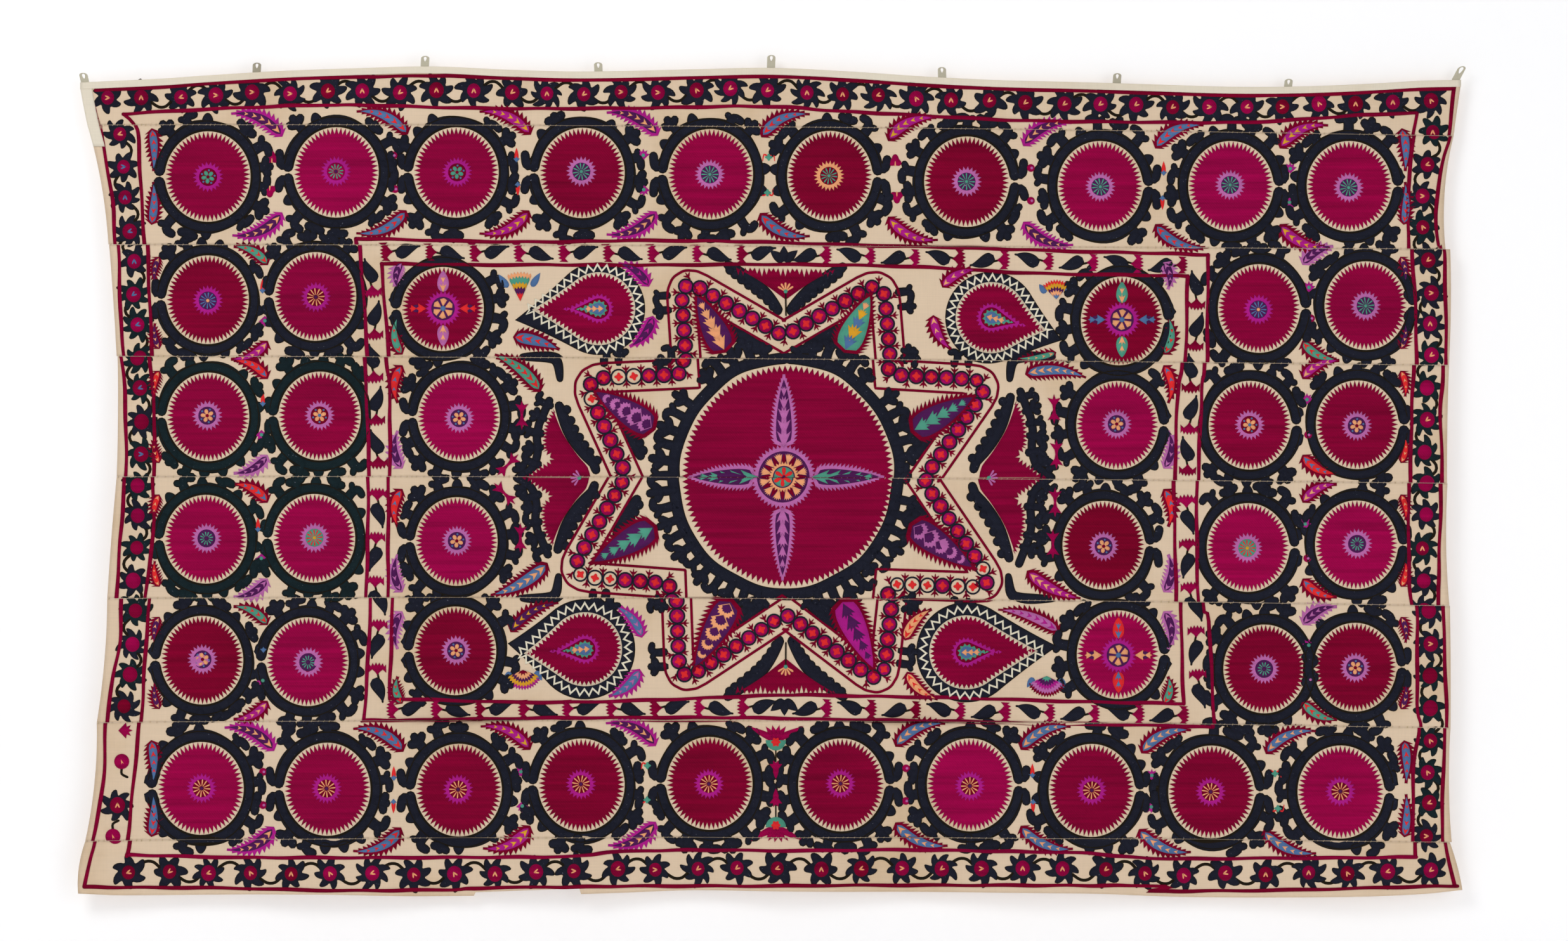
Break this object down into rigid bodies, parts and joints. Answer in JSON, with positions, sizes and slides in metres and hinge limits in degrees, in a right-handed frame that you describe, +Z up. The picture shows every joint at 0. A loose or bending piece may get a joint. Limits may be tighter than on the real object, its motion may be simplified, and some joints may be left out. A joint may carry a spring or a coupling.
{
  "type": "suzani wall hanging",
  "caption": "Large embroidered cotton hanging sewn from horizontal loom widths, with crimson rosettes in navy rings around a star, a tape heading and small hanging loops.",
  "frame": {"origin": "the middle of the top edge, where the hanging is held", "axes": "+Z up, +X to the right of a viewer in front, the embroidered face looks along -Y"},
  "size_m": [3.0053, 0.0264, 1.8265],
  "materials": {
    "cotton_ground": "hand-woven plain cotton, aged cream, matt",
    "heading_cotton": "plain cotton tape, greyed ivory, matt",
    "loop_cotton": "folded cotton tape, greyed ivory, matt",
    "crimson_silk": "couched silk with a soft sheen and dye streaks",
    "navy_silk": "couched silk, dark indigo with lighter specks",
    "outline_silk": "dark brown chain stitch",
    "violet_silk": "magenta and lilac couched silk",
    "bright_silk": "small fillings in peach, red, teal, blue and gold silk",
    "cream_silk": "ivory silk zigzag line",
    "seam_thread": "oversewn cotton thread"
  },
  "bodies": {
    "root": {"loom_width_1": "cotton_ground", "loom_width_2": "cotton_ground", "loom_width_3": "cotton_ground", "loom_width_4": "cotton_ground", "loom_width_5": "cotton_ground", "loom_width_6": "cotton_ground", "loom_width_7": "cotton_ground", "loom_width_8": "cotton_ground", "heading_tape": "heading_cotton", "side_tape": "heading_cotton", "loop_1": "loop_cotton", "loop_2": "loop_cotton", "loop_3": "loop_cotton", "loop_4": "loop_cotton", "loop_5": "loop_cotton", "loop_6": "loop_cotton", "loop_7": "loop_cotton", "loop_8": "loop_cotton", "loop_9": "loop_cotton"}
  },
  "joints": []
}
